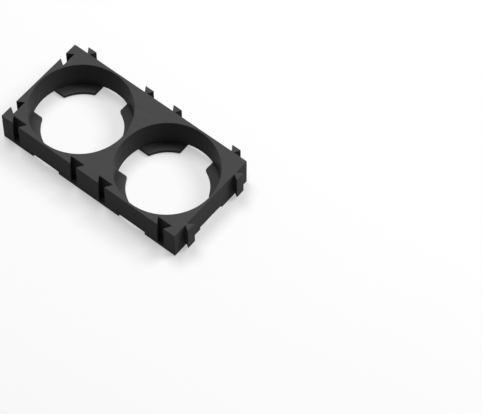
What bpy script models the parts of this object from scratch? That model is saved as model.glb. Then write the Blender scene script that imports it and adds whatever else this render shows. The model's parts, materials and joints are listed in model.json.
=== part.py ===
"""Battery cell holder bracket: one black moulding that spaces a row of round cells.

The bracket stands on its flange face, with the cells' mouths up. Metres, +Z up, and the
origin is at the bottom centre of the whole moulding, tabs included. The long row of cells
runs along X. Dovetail slots face -X and -Y, dovetail tabs face +X and +Y.
"""

import math

import bmesh
import bpy
from mathutils import Vector

# Cells and the grid that they stand on
CELL_DIAMETER = 0.0322
CELL_CLEARANCE = 0.0003
BORE_DRAFT = math.radians(1.7)
CELLS_LONG = 2
CELLS_WIDE = 1
BORE_WALL = 0.0011
BRACKET_HEIGHT = 0.0115

# Flange plates that stop the cells at the bottom
FLANGE_THICKNESS = 0.0013
FLANGE_LIP = 0.0032
WINDOW_WIDTH = 0.0104
WINDOW_CORNER_RADIUS = 0.0006

# Dovetail slots, and the tabs that slide into the slots of the next bracket
SLOT_MOUTH = 0.00235
SLOT_DEPTH = 0.00235
DOVETAIL_ANGLE = math.radians(33.0)
CORNER_NECK = 0.00065
TAB_SIDE_CLEARANCE = 0.0006
TAB_DEPTH_CLEARANCE = 0.0004
TAB_END_CLEARANCE = 0.0001

# Coring pockets that keep the corners of the moulding from sinking
POCKET_ROOF = 0.0015
POCKET_FACE_WALL = 0.0015
POCKET_SLOT_WALL = 0.0011
POCKET_BORE_WALL = 0.0024
POCKET_BORE_WALL_BY_SLOTS = 0.0018
POCKET_CORNER_RADIUS = 0.00035

# Edges and facets
EDGE_RADIUS = 0.0002
EDGE_SEGMENTS = 2
BORE_FACETS = 96
CORNER_FACETS = 4
SHARP_EDGE_ANGLE = math.radians(40.0)
STRAIGHT_ANGLE = math.radians(0.5)
WELD_DISTANCE = 0.000001
CUT_PAST = 0.001

# Sizes that follow from those above
BORE_RADIUS = CELL_DIAMETER / 2 + CELL_CLEARANCE
CELL_PITCH = 2 * (BORE_RADIUS + BORE_WALL)
HALF_PITCH = CELL_PITCH / 2
FLANGE_RADIUS = BORE_RADIUS - FLANGE_LIP
DOVETAIL_SLOPE = math.tan(DOVETAIL_ANGLE)
SLOT_INNER = SLOT_MOUTH + 2 * SLOT_DEPTH * DOVETAIL_SLOPE
DOVETAIL_OFFSET = HALF_PITCH - SLOT_DEPTH - CORNER_NECK - SLOT_INNER / 2
TAB_ROOT = SLOT_MOUTH - 2 * TAB_SIDE_CLEARANCE / math.cos(DOVETAIL_ANGLE)
TAB_REACH = SLOT_DEPTH - TAB_DEPTH_CLEARANCE
TAB_BOTTOM = FLANGE_THICKNESS + TAB_END_CLEARANCE
WINDOW_TURN = math.asin(WINDOW_WIDTH / 2 / BORE_RADIUS)

# The body between its flat faces, seen from above
BODY_LENGTH = CELLS_LONG * CELL_PITCH
BODY_WIDTH = CELLS_WIDE * CELL_PITCH
BODY_LEFT = -(BODY_LENGTH + TAB_REACH) / 2
BODY_FRONT = -(BODY_WIDTH + TAB_REACH) / 2
BODY_RIGHT = BODY_LEFT + BODY_LENGTH
BODY_BACK = BODY_FRONT + BODY_WIDTH


def clear_scene():
    for item in list(bpy.data.objects):
        bpy.data.objects.remove(item, do_unlink=True)


def black_abs():
    """Black moulded ABS with the faint gloss of a fine-sparked tool."""
    material = bpy.data.materials.new("moulded_black_abs")
    material.use_nodes = True
    shader = material.node_tree.nodes["Principled BSDF"]
    shader.inputs["Base Color"].default_value = (0.028, 0.028, 0.030, 1.0)
    shader.inputs["Roughness"].default_value = 0.42
    shader.inputs["Metallic"].default_value = 0.0
    return material


def arc(centre, radius, start, end, facets):
    """Points on an arc from one angle to the other, both ends included."""
    points = []
    for step in range(facets + 1):
        angle = start + (end - start) * step / facets
        points.append(Vector((centre[0] + radius * math.cos(angle), centre[1] + radius * math.sin(angle))))
    return points


def extrude_outline(mesh, outline, bottom, top):
    """Add a closed prism to a bmesh, from a counter-clockwise outline."""
    lower = [mesh.verts.new((point[0], point[1], bottom)) for point in outline]
    base = mesh.faces.new(lower)
    grown = bmesh.ops.extrude_face_region(mesh, geom=[base])
    for item in grown["geom"]:
        if isinstance(item, bmesh.types.BMVert):
            item.co.z = top


def finish_object(mesh, name, cutter=False):
    """Turn a bmesh into an object with its faces pointing out."""
    bmesh.ops.recalc_face_normals(mesh, faces=mesh.faces)
    data = bpy.data.meshes.new(name)
    mesh.to_mesh(data)
    mesh.free()
    item = bpy.data.objects.new(name, data)
    bpy.context.scene.collection.objects.link(item)
    if cutter:
        item.hide_render = True
        item.display_type = 'WIRE'
    return item


def cell_centres():
    return [
        (BODY_LEFT + (column + 0.5) * CELL_PITCH, BODY_FRONT + (row + 0.5) * CELL_PITCH)
        for column in range(CELLS_LONG)
        for row in range(CELLS_WIDE)
    ]


def body_block():
    """The block that everything else is cut from."""
    mesh = bmesh.new()
    corners = [(BODY_LEFT, BODY_FRONT), (BODY_RIGHT, BODY_FRONT), (BODY_RIGHT, BODY_BACK), (BODY_LEFT, BODY_BACK)]
    extrude_outline(mesh, corners, 0.0, BRACKET_HEIGHT)
    return finish_object(mesh, "holder_bracket")


def facets_over(angle):
    """How many facets of a bore's ring an angle takes, and never fewer than two."""
    return max(2, round(BORE_FACETS * abs(angle) / (2 * math.pi)))


def bore_ring(radius):
    """A ring of points round a bore, with points where the sides of the windows cross the wall."""
    points = []
    for quarter in range(4):
        turn = math.pi / 2 * quarter
        before, after = turn - WINDOW_TURN, turn + WINDOW_TURN
        beyond = before + math.pi / 2
        points += arc((0, 0), radius, before, after, facets_over(after - before))[:-1]
        points += arc((0, 0), radius, after, beyond, facets_over(beyond - after))[:-1]
    return points


def bore_cutter():
    """Bores down to the flange plates, with the draft that lets the mould's core pull out."""
    mesh = bmesh.new()
    past_mouth = BRACKET_HEIGHT + CUT_PAST
    mouth_radius = BORE_RADIUS + (past_mouth - FLANGE_THICKNESS) * math.tan(BORE_DRAFT)
    for x, y in cell_centres():
        seat, mouth = [
            [mesh.verts.new((x + point.x, y + point.y, height)) for point in bore_ring(radius)]
            for radius, height in ((BORE_RADIUS, FLANGE_THICKNESS), (mouth_radius, past_mouth))
        ]
        mesh.faces.new(seat)
        mesh.faces.new(mouth)
        for index in range(len(seat)):
            after = (index + 1) % len(seat)
            mesh.faces.new((seat[index], seat[after], mouth[after], mouth[index]))
    return finish_object(mesh, "bore_cutter", cutter=True)


def window_quarter():
    """One quarter of a cell's flange opening, from the +X window to the +Y window.

    A plate's inner corner, where a window meets the round opening, has a small radius.
    """
    half = WINDOW_WIDTH / 2
    radius = WINDOW_CORNER_RADIUS
    along = half + radius
    across = math.sqrt((FLANGE_RADIUS + radius) ** 2 - along ** 2)
    near_x = (across, along)
    near_y = (along, across)
    lean = math.atan2(along, across)
    facets = facets_over(math.pi / 2 - 2 * lean)
    points = arc(near_x, radius, -math.pi / 2, lean - math.pi, CORNER_FACETS)
    points += arc((0, 0), FLANGE_RADIUS, lean, math.pi / 2 - lean, facets)[1:-1]
    points += arc(near_y, radius, -math.pi / 2 - lean, -math.pi, CORNER_FACETS)
    at_wall = BORE_RADIUS * math.cos(WINDOW_TURN)
    reach = HALF_PITCH + CUT_PAST
    start = [Vector((reach, half)), Vector((at_wall, half))]
    return start + points + [Vector((half, at_wall)), Vector((half, reach))]


def window_cutter(centre, name):
    """The cross of windows and the round opening under one cell."""
    outline = []
    for quarter in range(4):
        turn = math.pi / 2 * quarter
        for point in window_quarter():
            outline.append((
                centre[0] + point.x * math.cos(turn) - point.y * math.sin(turn),
                centre[1] + point.x * math.sin(turn) + point.y * math.cos(turn)))
    mesh = bmesh.new()
    extrude_outline(mesh, outline, -CUT_PAST, FLANGE_THICKNESS)
    return finish_object(mesh, name, cutter=True)


def dovetail(width, reach, start):
    """A dovetail's outline that opens from its narrow end, along +Y from its face at Y = 0."""
    narrow = width / 2
    wide = narrow + reach * DOVETAIL_SLOPE
    return [(-narrow, start), (narrow, start), (narrow, 0.0), (wide, reach), (-wide, reach), (-narrow, 0.0)]


def dovetail_stations():
    """Where the dovetails stand along X on a long side, and along Y on a short side."""
    along_x = [x + side * DOVETAIL_OFFSET for x in sorted({c[0] for c in cell_centres()}) for side in (-1, 1)]
    along_y = [y + side * DOVETAIL_OFFSET for y in sorted({c[1] for c in cell_centres()}) for side in (-1, 1)]
    return along_x, along_y


def slot_cutter():
    """Slots in the -X and -Y faces, open at the mouth side and closed by the flange plates."""
    mesh = bmesh.new()
    profile = dovetail(SLOT_MOUTH, SLOT_DEPTH, -CUT_PAST)
    along_x, along_y = dovetail_stations()
    for x in along_x:
        outline = [(x + u, BODY_FRONT + v) for u, v in profile]
        extrude_outline(mesh, outline, FLANGE_THICKNESS, BRACKET_HEIGHT + CUT_PAST)
    for y in along_y:
        outline = [(BODY_LEFT + v, y - u) for u, v in profile]
        extrude_outline(mesh, outline, FLANGE_THICKNESS, BRACKET_HEIGHT + CUT_PAST)
    return finish_object(mesh, "slot_cutter", cutter=True)


def tab_solid():
    """Tabs on the +X and +Y faces, flush with the mouth side and clear of the flange plates."""
    mesh = bmesh.new()
    profile = dovetail(TAB_ROOT, TAB_REACH, -POCKET_FACE_WALL / 2)
    along_x, along_y = dovetail_stations()
    for x in along_x:
        outline = [(x + u, BODY_BACK + v) for u, v in profile]
        extrude_outline(mesh, outline, TAB_BOTTOM, BRACKET_HEIGHT)
    for y in along_y:
        outline = [(BODY_RIGHT + v, y - u) for u, v in profile]
        extrude_outline(mesh, outline, TAB_BOTTOM, BRACKET_HEIGHT)
    return finish_object(mesh, "tab_solid", cutter=True)


def rounded_pocket(corners, centres, bore_wall):
    """A pocket's outline: straight sides, arcs round the bores, and every corner rounded.

    corners are the centres of the corner radii, counter-clockwise. centres holds, for the side
    that leaves each corner, the cell that the side runs round, or None for a straight side.
    """
    radius = POCKET_CORNER_RADIUS
    count = len(corners)
    headings = []
    for index in range(count):
        here, after, cell = corners[index], corners[(index + 1) % count], centres[index]
        if cell is None:
            run = after - here
            normal = Vector((run.y, -run.x)).normalized()
            headings.append((normal, normal))
        else:
            headings.append(((cell - here).normalized(), (cell - after).normalized()))
    outline = []
    for index in range(count):
        corner = corners[index]
        came, goes = headings[index - 1][1], headings[index][0]
        start = math.atan2(came.y, came.x)
        sweep = (math.atan2(goes.y, goes.x) - start) % (2 * math.pi)
        outline += arc(corner, radius, start, start + sweep, CORNER_FACETS)
        cell = centres[index]
        if cell is not None:
            first = corner - cell
            last = corners[(index + 1) % count] - cell
            begin = math.atan2(first.y, first.x)
            swing = (math.atan2(last.y, last.x) - begin + math.pi) % (2 * math.pi) - math.pi
            outline += arc(cell, BORE_RADIUS + bore_wall, begin, begin + swing, facets_over(swing))[1:-1]
    return outline


def pocket_outlines():
    """Pockets where four cell squares, or two and an outer face, or one and two faces, meet."""
    radius = POCKET_CORNER_RADIUS
    slot_side = SLOT_DEPTH + POCKET_SLOT_WALL
    outlines = []
    for wall_y, face_y, inward_y, bore_wall in (
            (slot_side, BODY_FRONT, 1, POCKET_BORE_WALL_BY_SLOTS),
            (POCKET_FACE_WALL, BODY_BACK, -1, POCKET_BORE_WALL)):
        level = face_y + inward_y * (wall_y + radius)
        reach = BORE_RADIUS + bore_wall + radius
        row = BODY_FRONT + HALF_PITCH if inward_y > 0 else BODY_BACK - HALF_PITCH
        half_chord = math.sqrt(reach ** 2 - (level - row) ** 2)
        for wall_x, face_x, inward_x in ((slot_side, BODY_LEFT, 1), (POCKET_FACE_WALL, BODY_RIGHT, -1)):
            side = face_x + inward_x * (wall_x + radius)
            cell = Vector((face_x + inward_x * HALF_PITCH, row))
            if math.hypot(side - cell.x, level - cell.y) <= reach:
                continue
            fall = math.sqrt(reach ** 2 - (side - cell.x) ** 2)
            corners = [
                Vector((side, level)),
                Vector((cell.x - inward_x * half_chord, level)),
                Vector((side, cell.y - inward_y * fall)),
            ]
            rounds = [None, cell, None]
            if inward_x * inward_y < 0:
                corners = [corners[0], corners[2], corners[1]]
            outlines.append(rounded_pocket(corners, rounds, bore_wall))
        for gap in range(1, CELLS_LONG):
            middle = BODY_LEFT + gap * CELL_PITCH
            left = Vector((middle - HALF_PITCH, row))
            right = Vector((middle + HALF_PITCH, row))
            apex = Vector((middle, row - inward_y * math.sqrt(reach ** 2 - HALF_PITCH ** 2)))
            at_left = Vector((left.x + half_chord, level))
            at_right = Vector((right.x - half_chord, level))
            if inward_y > 0:
                outlines.append(rounded_pocket([at_left, at_right, apex], [None, right, left], bore_wall))
            else:
                outlines.append(rounded_pocket([at_right, at_left, apex], [None, left, right], bore_wall))
    return outlines


def pocket_cutter():
    """Blind pockets, open on the flange face."""
    mesh = bmesh.new()
    for outline in pocket_outlines():
        extrude_outline(mesh, outline, -CUT_PAST, BRACKET_HEIGHT - POCKET_ROOF)
    return finish_object(mesh, "pocket_cutter", cutter=True)


def combine(target, tools, operation):
    """Cut all of the tools from the target at once, or join them to it."""
    group = bpy.data.collections.new(operation.lower() + "_tools")
    for tool in tools:
        group.objects.link(tool)
    step = target.modifiers.new(group.name, 'BOOLEAN')
    step.operation = operation
    step.solver = 'EXACT'
    step.operand_type = 'COLLECTION'
    step.collection = group


def bake(target):
    """Keep the combined shape as the object's own mesh, and drop the tools."""
    graph = bpy.context.evaluated_depsgraph_get()
    shape = bpy.data.meshes.new_from_object(target.evaluated_get(graph))
    groups = [step.collection for step in target.modifiers]
    target.modifiers.clear()
    target.data = shape
    shape.name = target.name
    for group in groups:
        for tool in list(group.objects):
            bpy.data.objects.remove(tool, do_unlink=True)
        bpy.data.collections.remove(group)


def refill_flat_side(mesh, level):
    """Fill a flat side that has holes anew, from corner to corner.

    The cuts leave points inside its straight edges, and those would pinch the edge radii.
    """
    flat = [face for face in mesh.faces if all(abs(vert.co.z - level) < WELD_DISTANCE for vert in face.verts)]
    bmesh.ops.delete(mesh, geom=flat, context='FACES')
    straight = []
    for vert in mesh.verts:
        if vert.is_boundary and len(vert.link_edges) == 2:
            ends = [edge.other_vert(vert).co for edge in vert.link_edges]
            if (vert.co - ends[0]).angle(ends[1] - vert.co) < STRAIGHT_ANGLE:
                straight.append(vert)
    bmesh.ops.dissolve_verts(mesh, verts=straight)
    rim = [edge for edge in mesh.edges if edge.is_boundary]
    bmesh.ops.triangle_fill(mesh, edges=rim, use_beauty=True)


def round_edges(target):
    """Break every sharp edge, as the mould's own edges do."""
    mesh = bmesh.new()
    mesh.from_mesh(target.data)
    bmesh.ops.remove_doubles(mesh, verts=mesh.verts, dist=WELD_DISTANCE)
    bmesh.ops.dissolve_limit(mesh, angle_limit=STRAIGHT_ANGLE, verts=mesh.verts, edges=mesh.edges)
    refill_flat_side(mesh, 0.0)
    refill_flat_side(mesh, BRACKET_HEIGHT)
    bmesh.ops.recalc_face_normals(mesh, faces=mesh.faces)
    sharp = [edge for edge in mesh.edges if edge.calc_face_angle(0.0) > SHARP_EDGE_ANGLE]
    bmesh.ops.bevel(
        mesh, geom=sharp, offset=EDGE_RADIUS, offset_type='OFFSET', segments=EDGE_SEGMENTS,
        profile=0.5, affect='EDGES', clamp_overlap=False, loop_slide=False)
    mesh.to_mesh(target.data)
    mesh.free()
    target.data.shade_smooth()
    target.data.set_sharp_from_angle(angle=SHARP_EDGE_ANGLE)


def build_bracket():
    bracket = body_block()
    windows = [window_cutter(centre, f"window_cutter_{index}") for index, centre in enumerate(cell_centres())]
    combine(bracket, [bore_cutter(), slot_cutter(), pocket_cutter()] + windows, 'DIFFERENCE')
    combine(bracket, [tab_solid()], 'UNION')
    bake(bracket)
    round_edges(bracket)
    bracket.data.materials.clear()
    bracket.data.materials.append(black_abs())
    return bracket


clear_scene()
build_bracket()
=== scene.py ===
"""Battery cell holder bracket: the black moulding with its fine radii, its plastic and a plain studio.

Metres, +Z up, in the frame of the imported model. Left, right, front and back are -X, +X, -Y
and +Y. The row of cells runs along X. Dovetail slots are on the left and front faces, and
dovetail tabs on the right and back faces.
"""

import json
import math

import bmesh
import bpy
from bpy.props import FloatProperty, FloatVectorProperty, IntProperty, PointerProperty
from mathutils import Matrix, Vector


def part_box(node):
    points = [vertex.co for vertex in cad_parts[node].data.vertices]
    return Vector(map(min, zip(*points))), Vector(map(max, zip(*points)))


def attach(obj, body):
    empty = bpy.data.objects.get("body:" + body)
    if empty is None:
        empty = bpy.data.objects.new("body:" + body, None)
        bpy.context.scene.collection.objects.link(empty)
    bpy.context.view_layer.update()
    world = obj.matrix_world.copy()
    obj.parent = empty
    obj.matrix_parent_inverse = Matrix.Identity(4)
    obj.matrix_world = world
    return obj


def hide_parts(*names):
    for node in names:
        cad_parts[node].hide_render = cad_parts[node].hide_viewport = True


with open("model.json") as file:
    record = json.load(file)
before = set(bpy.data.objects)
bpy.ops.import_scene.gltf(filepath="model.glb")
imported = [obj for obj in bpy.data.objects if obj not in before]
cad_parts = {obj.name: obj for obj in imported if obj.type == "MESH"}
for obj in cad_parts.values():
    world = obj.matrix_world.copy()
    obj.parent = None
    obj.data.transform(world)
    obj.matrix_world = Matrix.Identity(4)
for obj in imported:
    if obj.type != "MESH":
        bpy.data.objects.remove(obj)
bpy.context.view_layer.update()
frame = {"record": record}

bl_info = {
    "name": "Battery Cell Holder Bracket",
    "version": (1, 0, 0),
    "blender": (4, 5, 0),
    "location": "View3D > Sidebar > Bracket",
    "description": "A moulded bracket for round battery cells, with its plastic, a studio and a camera",
    "category": "Add Mesh",
}

NODE = "holder_bracket"

# Places that the frame gives. Each mount on a face with slots lies halfway along that face
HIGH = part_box(NODE)[1]
MOUNTS = {mount["name"]: Vector(mount["pos_m"]) for mount in frame["record"]["mounts"]}
LEFT = MOUNTS["slot_side_short"].x
RIGHT = 2 * MOUNTS["slot_side_long"].x - LEFT
FRONT = MOUNTS["slot_side_long"].y
BACK = 2 * MOUNTS["slot_side_short"].y - FRONT
SEAT = MOUNTS["cell_seat_left"].z
TOP = HIGH.z
ROW = (FRONT + BACK) / 2
PITCH = BACK - FRONT
HALF_PITCH = PITCH / 2
CELLS_LONG = round((RIGHT - LEFT) / PITCH)
TAB_REACH = HIGH.x - RIGHT

# How far a cutter reaches past the face that it opens
CUT_PAST = 0.001

# Edges that turn more than the first angle are rounded, and points of an outline that turn less
# than the second are dropped
SHARP_ANGLE = math.radians(40.0)
STRAIGHT_ANGLE = math.radians(0.5)

# Points that lie closer together than this become one
WELD_DISTANCE = 0.000001

# A little flatter than a quarter circle, so that no fold forms in the dovetails' sharp corners
EDGE_PROFILE = 0.45

# The rubbed edges' place among the moulding's materials
EDGE_MATERIAL = 1

# The highest weight, with which the large flat faces set how light falls on their corners
LARGE_FACES_LEAD = 100

# Black ABS, and the levels of the streaks' noise between which its colour and roughness change
ABS_IOR = 1.54
STREAK_STRETCH = 4.0
STREAK_COLOUR_RANGE = (0.35, 0.65)
STREAK_ROUGHNESS_RANGE = (0.3, 0.7)
ROUGHNESS_CHANGE = 0.04

# Keeps the floor off the underside
FLOOR_GAP = 0.00002

# How near and how far the camera sees
CLIP_START = 0.01
CLIP_END = 100.0


def millimetres(value, name, description):
    """A length property whose default is given in millimetres."""
    return FloatProperty(
        name=name, description=description, default=value / 1000, min=0.0, precision=5,
        subtype='DISTANCE', unit='LENGTH')


def degrees(value, name, description):
    """An angle property whose default is given in degrees."""
    return FloatProperty(
        name=name, description=description, default=math.radians(value),
        subtype='ANGLE', unit='ROTATION')


def share(value, name, description):
    """A number of 0 or more, with a slider up to 1."""
    return FloatProperty(
        name=name, description=description, default=value, min=0.0, soft_max=1.0, precision=3,
        subtype='FACTOR')


def count(value, least, most, name, description):
    """A whole number between two limits."""
    return IntProperty(name=name, description=description, default=value, min=least, max=most)


def linear(code):
    """An sRGB hex colour as linear red, green and blue, by the curve of the sRGB standard."""
    channels = [int(code[start:start + 2], 16) / 255 for start in (1, 3, 5)]
    return tuple(
        channel / 12.92 if channel <= 0.04045 else ((channel + 0.055) / 1.055) ** 2.4
        for channel in channels)


def colour(code, name, description):
    """A colour property whose default is an sRGB hex value."""
    return FloatVectorProperty(
        name=name, description=description, default=linear(code), size=3, min=0.0, max=1.0,
        subtype='COLOR')


class BracketShape(bpy.types.PropertyGroup):
    """Sizes of the moulding that the frame doesn't give."""

    bore_wall: millimetres(1.1, "Bore Wall", "Thinnest wall between a bore and an outer face")
    bore_draft: degrees(1.7, "Bore Draft", "Slope of the bores' walls, which widens them to the mouth")
    flange_lip: millimetres(3.2, "Flange Lip", "How far the flange plates reach in under a cell")
    window_width: millimetres(10.4, "Window Width", "Gap between two flange plates")
    window_corner_radius: millimetres(0.6, "Window Corner Radius", "Radius on a plate's inner corners")
    slot_mouth: millimetres(2.35, "Slot Mouth", "Width of a dovetail slot at the outer face")
    slot_depth: millimetres(2.35, "Slot Depth", "Depth of a dovetail slot")
    dovetail_angle: degrees(33.0, "Dovetail Angle", "Slope of the dovetail's sides")
    corner_neck: millimetres(0.65, "Corner Neck", "Plastic left between the slots round a corner")
    tab_side_clearance: millimetres(0.6, "Tab Side Clearance", "Gap beside a tab in a slot")
    tab_end_clearance: millimetres(0.1, "Tab End Clearance", "Gap under a tab in a slot")
    pocket_roof: millimetres(1.5, "Pocket Roof", "Plastic over a coring pocket")
    pocket_face_wall: millimetres(1.5, "Pocket Face Wall", "Wall between a pocket and a face with tabs")
    pocket_slot_wall: millimetres(1.1, "Pocket Slot Wall", "Wall between a pocket and the slots' depth")
    pocket_bore_wall: millimetres(2.4, "Pocket Bore Wall", "Wall round a bore by the faces with tabs")
    pocket_bore_wall_by_slots: millimetres(
        1.8, "Pocket Bore Wall by Slots", "Wall round a bore by the faces with slots")
    pocket_corner_radius: millimetres(0.35, "Pocket Corner Radius", "Radius in the pockets' corners")
    edge_radius: millimetres(0.2, "Edge Radius", "Radius on every edge of the moulding")
    edge_segments: count(3, 1, 6, "Edge Segments", "Facets across an edge")
    bore_facets: count(192, 24, 360, "Bore Facets", "Facets round a bore")
    corner_facets: count(6, 4, 16, "Corner Facets", "Facets in a small corner")


class PlasticFinish(bpy.types.PropertyGroup):
    """Colour and surface of the black plastic."""

    body: colour("#4a4a4a", "Body", "Colour of the plastic's flat faces")
    streak: colour("#474747", "Streak", "Colour where the plastic cooled first")
    streak_size: millimetres(9.0, "Streak Size", "Length of the faint flow streaks")
    roughness: share(0.5, "Roughness", "Roughness of a face")
    edge_roughness: share(0.34, "Edge Roughness", "Roughness of the rubbed edges")
    specular: share(0.016, "Specular", "Strength of the gloss")
    grain_size: millimetres(0.32, "Grain Size", "Size of the mould's spark texture as drawn")
    grain_depth: millimetres(0.03, "Grain Depth", "Depth of the mould's spark texture as drawn")


class StudioStage(bpy.types.PropertyGroup):
    """Floor, background and two soft lamps.

    A lamp's azimuth is its turn from the back towards the right.
    """

    floor: colour("#fafafa", "Floor", "Colour of the floor where it is seen or mirrored")
    floor_bounce: colour("#909090", "Floor Bounce", "Colour of the light that the floor throws up")
    shadow_depth: share(0.55, "Shadow Depth", "How much of the floor's look is shaded")
    floor_width: millimetres(8000.0, "Floor Width", "Width of the floor")
    background: colour("#ffffff", "Background", "Colour behind the floor")
    ambient: share(0.10, "Ambient", "Level of the light from all round")
    ambient_colour: colour("#ffffff", "Ambient Colour", "Colour of the light from all round")
    lamp_distance: millimetres(900.0, "Lamp Distance", "Distance of the lamps from the bracket")
    key_level: share(0.53, "Key Level", "Level of the high lamp on the floor")
    key_azimuth: degrees(-62.0, "Key Azimuth", "Turn of the high lamp")
    key_elevation: degrees(72.0, "Key Elevation", "Height of the high lamp above the floor")
    key_width: millimetres(400.0, "Key Width", "Width of the high lamp")
    side_level: share(0.385, "Side Level", "Level of the low lamp on the floor")
    side_azimuth: degrees(38.0, "Side Azimuth", "Turn of the low lamp")
    side_elevation: degrees(50.0, "Side Elevation", "Height of the low lamp above the floor")
    side_width: millimetres(400.0, "Side Width", "Width of the low lamp")


class PhotoCamera(bpy.types.PropertyGroup):
    """Where the camera stands."""

    azimuth: degrees(39.03, "Azimuth", "Turn round the bracket from the front towards the right")
    elevation: degrees(58.01, "Elevation", "Height above the floor")
    distance: millimetres(856.5, "Distance", "Distance from the middle of the cells")
    focal_length: FloatProperty(
        name="Focal Length", description="Focal length on a 36 mm sensor, in millimetres",
        default=204.43, min=1.0, subtype='DISTANCE_CAMERA', unit='CAMERA')
    move_right: millimetres(36.34, "Move Right", "Camera's own move to its right")
    move_down: millimetres(15.19, "Move Down", "Camera's own move down")


class Layout:
    """Sizes of the moulding that follow from the frame and from the user's sizes."""

    def __init__(self, shape):
        self.bore_radius = HALF_PITCH - shape.bore_wall
        self.flange_radius = self.bore_radius - shape.flange_lip
        # Half the angle that a window takes of the bore's wall
        self.window_turn = math.asin(shape.window_width / 2 / self.bore_radius)
        # How far a dovetail's side leans out, as a share of its depth
        self.slope = math.tan(shape.dovetail_angle)
        slot_inner = shape.slot_mouth + 2 * shape.slot_depth * self.slope
        self.dovetail_offset = HALF_PITCH - shape.slot_depth - shape.corner_neck - slot_inner / 2
        self.tab_root = shape.slot_mouth - 2 * shape.tab_side_clearance / math.cos(shape.dovetail_angle)
        self.tab_bottom = SEAT + shape.tab_end_clearance
        self.cells = [Vector((LEFT + (column + 0.5) * PITCH, ROW)) for column in range(CELLS_LONG)]
        sides = (-self.dovetail_offset, self.dovetail_offset)
        self.along_x = [cell.x + side for cell in self.cells for side in sides]
        self.along_y = [ROW + side for side in sides]


def arc(centre, radius, start, end, facets):
    """Points on an arc from one angle to the other, both ends included."""
    centre = Vector(centre)
    turns = [start + (end - start) * step / facets for step in range(facets + 1)]
    return [centre + radius * Vector((math.cos(turn), math.sin(turn))) for turn in turns]


def facets_over(shape, angle):
    """How many facets of a bore an angle takes, and never fewer than two."""
    return max(2, round(shape.bore_facets * abs(angle) / (2 * math.pi)))


def extrude_outline(mesh, outline, bottom, top):
    """Add a closed prism to a bmesh, from a counter-clockwise outline."""
    lower = [mesh.verts.new((point[0], point[1], bottom)) for point in outline]
    grown = bmesh.ops.extrude_face_region(mesh, geom=[mesh.faces.new(lower)])
    for item in grown["geom"]:
        if isinstance(item, bmesh.types.BMVert):
            item.co.z = top


def mesh_object(mesh, name):
    """Link a bmesh as an object with its faces pointing out."""
    bmesh.ops.recalc_face_normals(mesh, faces=mesh.faces)
    data = bpy.data.meshes.new(name)
    mesh.to_mesh(data)
    mesh.free()
    item = bpy.data.objects.new(name, data)
    bpy.context.scene.collection.objects.link(item)
    return item


def block():
    """The block that the bores, slots and pockets are cut from."""
    mesh = bmesh.new()
    extrude_outline(mesh, [(LEFT, FRONT), (RIGHT, FRONT), (RIGHT, BACK), (LEFT, BACK)], 0.0, TOP)
    return mesh_object(mesh, "bracket_moulding")


def bore_ring(shape, layout, radius):
    """Points round a bore, with one wherever the side of a window crosses the wall."""
    turn = layout.window_turn
    window_facets = facets_over(shape, 2 * turn)
    plate_facets = facets_over(shape, math.pi / 2 - 2 * turn)
    points = []
    for quarter in range(4):
        middle = math.pi / 2 * quarter
        beyond = middle - turn + math.pi / 2
        points += arc((0, 0), radius, middle - turn, middle + turn, window_facets)[:-1]
        points += arc((0, 0), radius, middle + turn, beyond, plate_facets)[:-1]
    return points


def bores(shape, layout):
    """Cutter for the bores, which widen from the flange plates to the mouth."""
    mesh = bmesh.new()
    past_mouth = TOP + CUT_PAST
    mouth_radius = layout.bore_radius + (past_mouth - SEAT) * math.tan(shape.bore_draft)
    for cell in layout.cells:
        rings = []
        for radius, height in ((layout.bore_radius, SEAT), (mouth_radius, past_mouth)):
            ring = [cell + point for point in bore_ring(shape, layout, radius)]
            rings.append([mesh.verts.new((point.x, point.y, height)) for point in ring])
        seat, mouth = rings
        mesh.faces.new(seat)
        mesh.faces.new(mouth)
        for index, point in enumerate(seat):
            after = (index + 1) % len(seat)
            mesh.faces.new((point, seat[after], mouth[after], mouth[index]))
    return mesh_object(mesh, "bores")


def window_quarter(shape, layout):
    """A quarter of a cell's flange opening: half a window, a plate's rim and half a window."""
    half = shape.window_width / 2
    radius = shape.window_corner_radius
    along = half + radius
    across = math.sqrt((layout.flange_radius + radius) ** 2 - along ** 2)
    lean = math.atan2(along, across)
    at_wall = layout.bore_radius * math.cos(layout.window_turn)
    reach = HALF_PITCH + CUT_PAST
    rim_facets = facets_over(shape, math.pi / 2 - 2 * lean)
    rim = arc((0, 0), layout.flange_radius, lean, math.pi / 2 - lean, rim_facets)
    return (
        [Vector((reach, half)), Vector((at_wall, half))]
        + arc((across, along), radius, -math.pi / 2, lean - math.pi, shape.corner_facets)
        + rim[1:-1]
        + arc((along, across), radius, -math.pi / 2 - lean, -math.pi, shape.corner_facets)
        + [Vector((half, at_wall)), Vector((half, reach))])


def window(shape, layout, cell, name):
    """Cutter for the cross of windows and the round opening under one cell."""
    outline = []
    for quarter in range(4):
        turn = Matrix.Rotation(math.pi / 2 * quarter, 2)
        outline += [cell + turn @ point for point in window_quarter(shape, layout)]
    mesh = bmesh.new()
    extrude_outline(mesh, outline, -CUT_PAST, SEAT)
    return mesh_object(mesh, name)


def dovetails(layout, width, reach, start, faces, bottom, top, name):
    """Dovetail prisms along the two faces, given as the Y of one and the X of the other.

    A prism is width wide at the face and widens to its reach beyond it. On the other side of
    the face it goes back to start.
    """
    mesh = bmesh.new()
    narrow = width / 2
    wide = narrow + reach * layout.slope
    profile = [
        (-narrow, start), (narrow, start), (narrow, 0.0),
        (wide, reach), (-wide, reach), (-narrow, 0.0)]
    for x in layout.along_x:
        extrude_outline(mesh, [(x + side, faces[0] + out) for side, out in profile], bottom, top)
    for y in layout.along_y:
        extrude_outline(mesh, [(faces[1] + out, y - side) for side, out in profile], bottom, top)
    return mesh_object(mesh, name)


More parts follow.
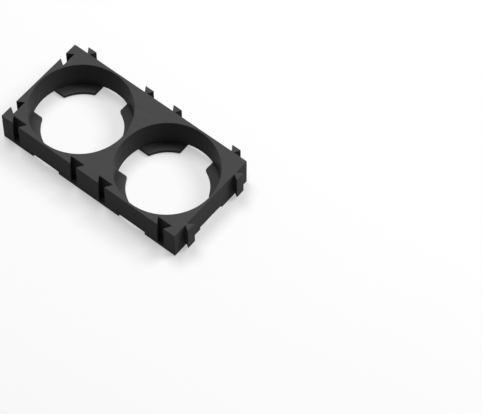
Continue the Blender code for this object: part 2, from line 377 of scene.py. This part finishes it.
def rounded_pocket(shape, layout, corners, rounds, bore_wall):
    """A pocket's outline: straight sides, arcs round the bores, and every corner rounded.

    corners are the centres of the corner radii, counter-clockwise. rounds holds, for the side
    that leaves each corner, the cell that the side runs round, or None for a straight side.
    """
    following = corners[1:] + corners[:1]
    headings = []
    for here, after, cell in zip(corners, following, rounds):
        if cell is None:
            run = after - here
            headings.append((Vector((run.y, -run.x)), Vector((run.y, -run.x))))
        else:
            headings.append((cell - here, cell - after))
    outline = []
    for index, (corner, after, cell) in enumerate(zip(corners, following, rounds)):
        came = headings[index - 1][1]
        goes = headings[index][0]
        start = math.atan2(came.y, came.x)
        sweep = (math.atan2(goes.y, goes.x) - start) % (2 * math.pi)
        outline += arc(corner, shape.pocket_corner_radius, start, start + sweep, shape.corner_facets)
        if cell is not None:
            first = corner - cell
            last = after - cell
            begin = math.atan2(first.y, first.x)
            swing = (math.atan2(last.y, last.x) - begin + math.pi) % (2 * math.pi) - math.pi
            radius = layout.bore_radius + bore_wall
            outline += arc(cell, radius, begin, begin + swing, facets_over(shape, swing))[1:-1]
    return outline


def corner_pocket(shape, layout, side, level, cell, inward_x, inward_y, bore_wall):
    """The pocket in a corner of the moulding, or None where the bore leaves no room for it.

    side and level are the X and Y of its outer corner, and inward_x and inward_y are 1 or -1,
    the way from there to the middle of the bracket.
    """
    reach = layout.bore_radius + bore_wall + shape.pocket_corner_radius
    if math.hypot(side - cell.x, level - cell.y) <= reach:
        return None
    across = math.sqrt(reach ** 2 - (level - cell.y) ** 2)
    fall = math.sqrt(reach ** 2 - (side - cell.x) ** 2)
    corners = [
        Vector((side, level)),
        Vector((cell.x - inward_x * across, level)),
        Vector((side, cell.y - inward_y * fall)),
    ]
    if inward_x * inward_y < 0:
        corners = [corners[0], corners[2], corners[1]]
    return rounded_pocket(shape, layout, corners, [None, cell, None], bore_wall)


def middle_pocket(shape, layout, level, left, right, inward_y, bore_wall):
    """The pocket between two bores and an outer face.

    level is the Y of its two outer corners, and inward_y is 1 or -1, the way from there to the
    middle of the bracket.
    """
    reach = layout.bore_radius + bore_wall + shape.pocket_corner_radius
    across = math.sqrt(reach ** 2 - (level - ROW) ** 2)
    apex = Vector(((left.x + right.x) / 2, ROW - inward_y * math.sqrt(reach ** 2 - HALF_PITCH ** 2)))
    ends = [(Vector((left.x + across, level)), left), (Vector((right.x - across, level)), right)]
    if inward_y < 0:
        ends.reverse()
    corners = [ends[0][0], ends[1][0], apex]
    return rounded_pocket(shape, layout, corners, [None, ends[1][1], ends[0][1]], bore_wall)


def pockets(shape, layout):
    """Cutter for the coring pockets, which are blind and open on the flange face."""
    radius = shape.pocket_corner_radius
    by_slots = shape.slot_depth + shape.pocket_slot_wall + radius
    by_tabs = shape.pocket_face_wall + radius
    first = layout.cells[0]
    last = layout.cells[-1]
    mesh = bmesh.new()
    for level, inward_y, bore_wall in (
            (FRONT + by_slots, 1, shape.pocket_bore_wall_by_slots),
            (BACK - by_tabs, -1, shape.pocket_bore_wall)):
        outlines = [
            corner_pocket(shape, layout, LEFT + by_slots, level, first, 1, inward_y, bore_wall),
            corner_pocket(shape, layout, RIGHT - by_tabs, level, last, -1, inward_y, bore_wall),
        ]
        for left, right in zip(layout.cells, layout.cells[1:]):
            outlines.append(middle_pocket(shape, layout, level, left, right, inward_y, bore_wall))
        for outline in outlines:
            if outline:
                extrude_outline(mesh, outline, -CUT_PAST, TOP - shape.pocket_roof)
    return mesh_object(mesh, "pockets")


def in_fixed_order(data):
    """A copy of a mesh with its points and faces in order of place, which the cuts leave to chance."""
    order = sorted(range(len(data.vertices)), key=lambda index: data.vertices[index].co.to_tuple())
    rank = {index: place for place, index in enumerate(order)}
    faces = []
    for face in data.polygons:
        corners = [rank[index] for index in face.vertices]
        first = corners.index(min(corners))
        faces.append(corners[first:] + corners[:first])
    ordered = bpy.data.meshes.new(data.name)
    ordered.from_pydata([data.vertices[index].co for index in order], [], sorted(faces))
    return ordered


def combine(target, tools, operation):
    """Cut the tools from the target or join them to it, and keep the result as its mesh."""
    group = bpy.data.collections.new("tools")
    for tool in tools:
        group.objects.link(tool)
    step = target.modifiers.new("tools", 'BOOLEAN')
    step.operation = operation
    step.solver = 'EXACT'
    step.operand_type = 'COLLECTION'
    step.collection = group
    graph = bpy.context.evaluated_depsgraph_get()
    target.data = in_fixed_order(bpy.data.meshes.new_from_object(target.evaluated_get(graph)))
    target.modifiers.clear()
    for tool in tools:
        bpy.data.objects.remove(tool, do_unlink=True)
    bpy.data.collections.remove(group)


def refill_flat_side(mesh, level):
    """Fill a flat side that has holes anew, from corner to corner, so that its edges round evenly."""
    flat = []
    for face in mesh.faces:
        if all(abs(vert.co.z - level) < WELD_DISTANCE for vert in face.verts):
            flat.append(face)
    bmesh.ops.delete(mesh, geom=flat, context='FACES')
    straight = []
    for vert in mesh.verts:
        if vert.is_boundary and len(vert.link_edges) == 2:
            ends = [edge.other_vert(vert).co for edge in vert.link_edges]
            if (vert.co - ends[0]).angle(ends[1] - vert.co) < STRAIGHT_ANGLE:
                straight.append(vert)
    bmesh.ops.dissolve_verts(mesh, verts=straight)
    rim = [edge for edge in mesh.edges if edge.is_boundary]
    bmesh.ops.triangle_fill(mesh, edges=rim, use_beauty=True)


def clean_faces(target):
    """Join up what the cuts split, so that each flat face is one face again."""
    mesh = bmesh.new()
    mesh.from_mesh(target.data)
    bmesh.ops.remove_doubles(mesh, verts=mesh.verts, dist=WELD_DISTANCE)
    bmesh.ops.dissolve_limit(mesh, angle_limit=STRAIGHT_ANGLE, verts=mesh.verts, edges=mesh.edges)
    refill_flat_side(mesh, 0.0)
    refill_flat_side(mesh, TOP)
    bmesh.ops.recalc_face_normals(mesh, faces=mesh.faces)
    mesh.to_mesh(target.data)
    mesh.free()


def round_edges(target, shape):
    """Round every edge, and keep the flat faces flat in the light."""
    radius = target.modifiers.new("edge_radius", 'BEVEL')
    radius.width = shape.edge_radius
    radius.segments = shape.edge_segments
    radius.profile = EDGE_PROFILE
    radius.limit_method = 'ANGLE'
    radius.angle_limit = SHARP_ANGLE
    radius.use_clamp_overlap = False
    radius.loop_slide = False
    radius.material = EDGE_MATERIAL
    target.data.shade_smooth()
    normals = target.modifiers.new("flat_faces", 'WEIGHTED_NORMAL')
    normals.mode = 'FACE_AREA'
    normals.weight = LARGE_FACES_LEAD


def add_node(tree, kind, settings=None, inputs=None, links=None):
    """Add a node, set its options and its input values, and link its inputs to other nodes' outputs."""
    node = tree.nodes.new(kind)
    for name, value in (settings or {}).items():
        setattr(node, name, value)
    for name, value in (inputs or {}).items():
        node.inputs[name].default_value = value
    for name, output in (links or {}).items():
        tree.links.new(output, node.inputs[name])
    return node


def moulded_abs(finish, name, roughness):
    """Black ABS as it leaves a spark-eroded mould.

    It gives the eye a dark grey satin, with a fine grain that softens every reflection and
    faint streaks where the plastic flowed.
    """
    material = bpy.data.materials.new(name)
    material.use_nodes = True
    tree = material.node_tree
    tree.nodes.clear()
    place = add_node(tree, "ShaderNodeTexCoord").outputs["Object"]

    # Flow streaks lie along the row, and are longer than they are wide by the stretch
    stretch = add_node(
        tree, "ShaderNodeMapping",
        inputs={"Scale": (1 / STREAK_STRETCH, 1.0, 1.0)},
        links={"Vector": place})
    streaks = add_node(
        tree, "ShaderNodeTexNoise",
        inputs={"Scale": STREAK_STRETCH / finish.streak_size, "Detail": 3.0, "Roughness": 0.55},
        links={"Vector": stretch.outputs["Vector"]})
    tone = add_node(tree, "ShaderNodeValToRGB", links={"Fac": streaks.outputs["Fac"]})
    for stop, position, shade in zip(
            tone.color_ramp.elements, STREAK_COLOUR_RANGE, (finish.streak, finish.body)):
        stop.position = position
        stop.color = (*shade, 1.0)
    satin = add_node(
        tree, "ShaderNodeMapRange",
        inputs={
            "From Min": STREAK_ROUGHNESS_RANGE[0],
            "From Max": STREAK_ROUGHNESS_RANGE[1],
            "To Min": roughness - ROUGHNESS_CHANGE,
            "To Max": roughness + ROUGHNESS_CHANGE,
        },
        links={"Value": streaks.outputs["Fac"]})

    # The real grain of about 0.05 mm is too fine to show, so it is drawn coarser, with slopes
    # like its own
    grain = add_node(
        tree, "ShaderNodeTexNoise",
        inputs={"Scale": 1 / finish.grain_size, "Detail": 2.0, "Roughness": 0.6},
        links={"Vector": place})
    bump = add_node(
        tree, "ShaderNodeBump",
        inputs={"Strength": 1.0, "Distance": finish.grain_depth},
        links={"Height": grain.outputs["Fac"]})

    shader = add_node(
        tree, "ShaderNodeBsdfPrincipled",
        inputs={"Metallic": 0.0, "IOR": ABS_IOR, "Specular IOR Level": finish.specular},
        links={
            "Base Color": tone.outputs["Color"],
            "Roughness": satin.outputs["Result"],
            "Normal": bump.outputs["Normal"],
        })
    add_node(tree, "ShaderNodeOutputMaterial", links={"Surface": shader.outputs["BSDF"]})
    return material


def seen_rays(tree):
    """An output that is 1 for the rays that show a thing straight, mirrored or through glass."""
    rays = add_node(tree, "ShaderNodeLightPath")
    straight_or_mirrored = add_node(
        tree, "ShaderNodeMath", settings={"operation": 'MAXIMUM'},
        links={0: rays.outputs["Is Camera Ray"], 1: rays.outputs["Is Glossy Ray"]})
    seen = add_node(
        tree, "ShaderNodeMath", settings={"operation": 'MAXIMUM'},
        links={0: straight_or_mirrored.outputs["Value"], 1: rays.outputs["Is Transmission Ray"]})
    return seen.outputs["Value"]


def painted_board(stage):
    """Matt white painted board for the floor.

    It gives the eye a clean white ground with a light shadow.
    """
    material = bpy.data.materials.new("matt_painted_board")
    material.use_nodes = True
    tree = material.node_tree
    tree.nodes.clear()
    shaded = add_node(
        tree, "ShaderNodeBsdfDiffuse", inputs={"Color": (*stage.floor, 1.0), "Roughness": 0.0})
    white = add_node(
        tree, "ShaderNodeEmission", inputs={"Color": (*stage.background, 1.0), "Strength": 1.0})
    bounce = add_node(
        tree, "ShaderNodeBsdfDiffuse", inputs={"Color": (*stage.floor_bounce, 1.0), "Roughness": 0.0})
    look = add_node(
        tree, "ShaderNodeMixShader", inputs={0: stage.shadow_depth},
        links={1: white.outputs["Emission"], 2: shaded.outputs["BSDF"]})
    choice = add_node(
        tree, "ShaderNodeMixShader",
        links={0: seen_rays(tree), 1: bounce.outputs["BSDF"], 2: look.outputs["Shader"]})
    add_node(tree, "ShaderNodeOutputMaterial", links={"Surface": choice.outputs["Shader"]})
    return material


def pale_world(stage):
    """A level light from all round, with a white background wherever it is seen or mirrored."""
    world = bpy.data.worlds.new("pale_world")
    world.use_nodes = True
    tree = world.node_tree
    tree.nodes.clear()
    light = add_node(
        tree, "ShaderNodeBackground",
        inputs={"Color": (*stage.ambient_colour, 1.0), "Strength": stage.ambient})
    backdrop = add_node(
        tree, "ShaderNodeBackground", inputs={"Color": (*stage.background, 1.0), "Strength": 1.0})
    choice = add_node(
        tree, "ShaderNodeMixShader",
        links={0: seen_rays(tree), 1: light.outputs["Background"], 2: backdrop.outputs["Background"]})
    add_node(tree, "ShaderNodeOutputWorld", links={"Surface": choice.outputs["Shader"]})
    return world


def heading(azimuth, elevation):
    """The direction that an azimuth from the front and an elevation point in."""
    return Vector((
        math.sin(azimuth) * math.cos(elevation),
        -math.cos(azimuth) * math.cos(elevation),
        math.sin(elevation)))


def soft_lamp(name, level, towards, distance, width):
    """A round lamp that gives the floor a level of light, of which a white world of strength 1 gives 1.

    With power P and radius r it gives P / (pi ** 2 * (distance ** 2 + r ** 2)) square on.
    """
    data = bpy.data.lights.new(name, 'AREA')
    data.shape = 'DISK'
    data.size = width
    data.energy = level * math.pi ** 2 * (distance ** 2 + (width / 2) ** 2) / towards.z
    lamp = bpy.data.objects.new(name, data)
    lamp.location = towards * distance
    lamp.rotation_euler = towards.to_track_quat('Z', 'Y').to_euler()
    return lamp


class BRACKET_OT_moulding(bpy.types.Operator):
    """Model the bracket with fine radii and give it its plastic"""

    bl_idname = "bracket.moulding"
    bl_label = "Holder Bracket"

    def execute(self, context):
        shape = context.scene.bracket_shape
        finish = context.scene.bracket_finish
        layout = Layout(shape)
        moulding = block()
        cutters = [bores(shape, layout), pockets(shape, layout)]
        cutters.append(dovetails(
            layout, shape.slot_mouth, shape.slot_depth, -CUT_PAST, (FRONT, LEFT),
            SEAT, TOP + CUT_PAST, "slots"))
        for index, cell in enumerate(layout.cells):
            cutters.append(window(shape, layout, cell, f"window_{index}"))
        combine(moulding, cutters, 'DIFFERENCE')
        tabs = dovetails(
            layout, layout.tab_root, TAB_REACH, -shape.pocket_face_wall / 2, (BACK, RIGHT),
            layout.tab_bottom, TOP, "tabs")
        combine(moulding, [tabs], 'UNION')
        clean_faces(moulding)
        round_edges(moulding, shape)
        moulding.data.materials.clear()
        for name, roughness in (
                ("moulded_abs", finish.roughness),
                ("moulded_abs_rubbed_edge", finish.edge_roughness)):
            moulding.data.materials.append(moulded_abs(finish, name, roughness))
        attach(moulding, "root")
        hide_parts(NODE)
        return {'FINISHED'}


class BRACKET_OT_stage(bpy.types.Operator):
    """Lay the floor, and set the background and the lamps"""

    bl_idname = "bracket.stage"
    bl_label = "Studio Stage"

    def execute(self, context):
        stage = context.scene.bracket_stage
        context.scene.view_settings.view_transform = 'Standard'
        context.scene.world = pale_world(stage)
        mesh = bmesh.new()
        bmesh.ops.create_grid(mesh, x_segments=1, y_segments=1, size=stage.floor_width / 2)
        floor = mesh_object(mesh, "floor")
        floor.location.z = -FLOOR_GAP
        floor.data.materials.append(painted_board(stage))

        for name, level, azimuth, elevation, width in (
                ("key", stage.key_level, stage.key_azimuth, stage.key_elevation, stage.key_width),
                ("side", stage.side_level, stage.side_azimuth, stage.side_elevation, stage.side_width)):
            towards = heading(math.pi - azimuth, elevation)
            lamp = soft_lamp(name, level, towards, stage.lamp_distance, width)
            context.scene.collection.objects.link(lamp)
        return {'FINISHED'}


class BRACKET_OT_camera(bpy.types.Operator):
    """Stand the camera where the photograph was taken from"""

    bl_idname = "bracket.camera"
    bl_label = "Photograph Camera"

    def execute(self, context):
        place = context.scene.bracket_camera
        back = heading(place.azimuth, place.elevation)
        right = Vector((math.cos(place.azimuth), math.sin(place.azimuth), 0.0))
        up = back.cross(right)
        data = bpy.data.cameras.new("photo_camera")
        data.lens = place.focal_length
        data.clip_start = CLIP_START
        data.clip_end = CLIP_END
        camera = bpy.data.objects.new("photo_camera", data)
        middle = Vector(((LEFT + RIGHT) / 2, ROW, 0.0))
        turn = Matrix((right, up, back)).transposed().to_4x4()
        move = right * place.move_right - up * place.move_down
        camera.matrix_world = Matrix.Translation(middle + back * place.distance + move) @ turn
        context.scene.collection.objects.link(camera)
        context.scene.camera = camera
        return {'FINISHED'}


class BRACKET_PT_sidebar(bpy.types.Panel):
    """Sizes, colours and build buttons of the bracket"""

    bl_idname = "BRACKET_PT_sidebar"
    bl_label = "Cell Holder Bracket"
    bl_space_type = 'VIEW_3D'
    bl_region_type = 'UI'
    bl_category = "Bracket"

    def draw(self, context):
        scene = context.scene
        for operator, groups in (
                (BRACKET_OT_moulding, (scene.bracket_shape, scene.bracket_finish)),
                (BRACKET_OT_stage, (scene.bracket_stage,)),
                (BRACKET_OT_camera, (scene.bracket_camera,))):
            part = self.layout.box()
            for settings in groups:
                for name in settings.__annotations__:
                    part.prop(settings, name)
            part.operator(operator.bl_idname)


CLASSES = (
    BracketShape, PlasticFinish, StudioStage, PhotoCamera,
    BRACKET_OT_moulding, BRACKET_OT_stage, BRACKET_OT_camera, BRACKET_PT_sidebar)


def register():
    for item in CLASSES:
        bpy.utils.register_class(item)
    bpy.types.Scene.bracket_shape = PointerProperty(type=BracketShape)
    bpy.types.Scene.bracket_finish = PointerProperty(type=PlasticFinish)
    bpy.types.Scene.bracket_stage = PointerProperty(type=StudioStage)
    bpy.types.Scene.bracket_camera = PointerProperty(type=PhotoCamera)


def unregister():
    del bpy.types.Scene.bracket_camera
    del bpy.types.Scene.bracket_stage
    del bpy.types.Scene.bracket_finish
    del bpy.types.Scene.bracket_shape
    for item in reversed(CLASSES):
        bpy.utils.unregister_class(item)


def main():
    register()
    bpy.ops.bracket.moulding()
    bpy.ops.bracket.stage()
    bpy.ops.bracket.camera()


if __name__ == "__main__":
    main()
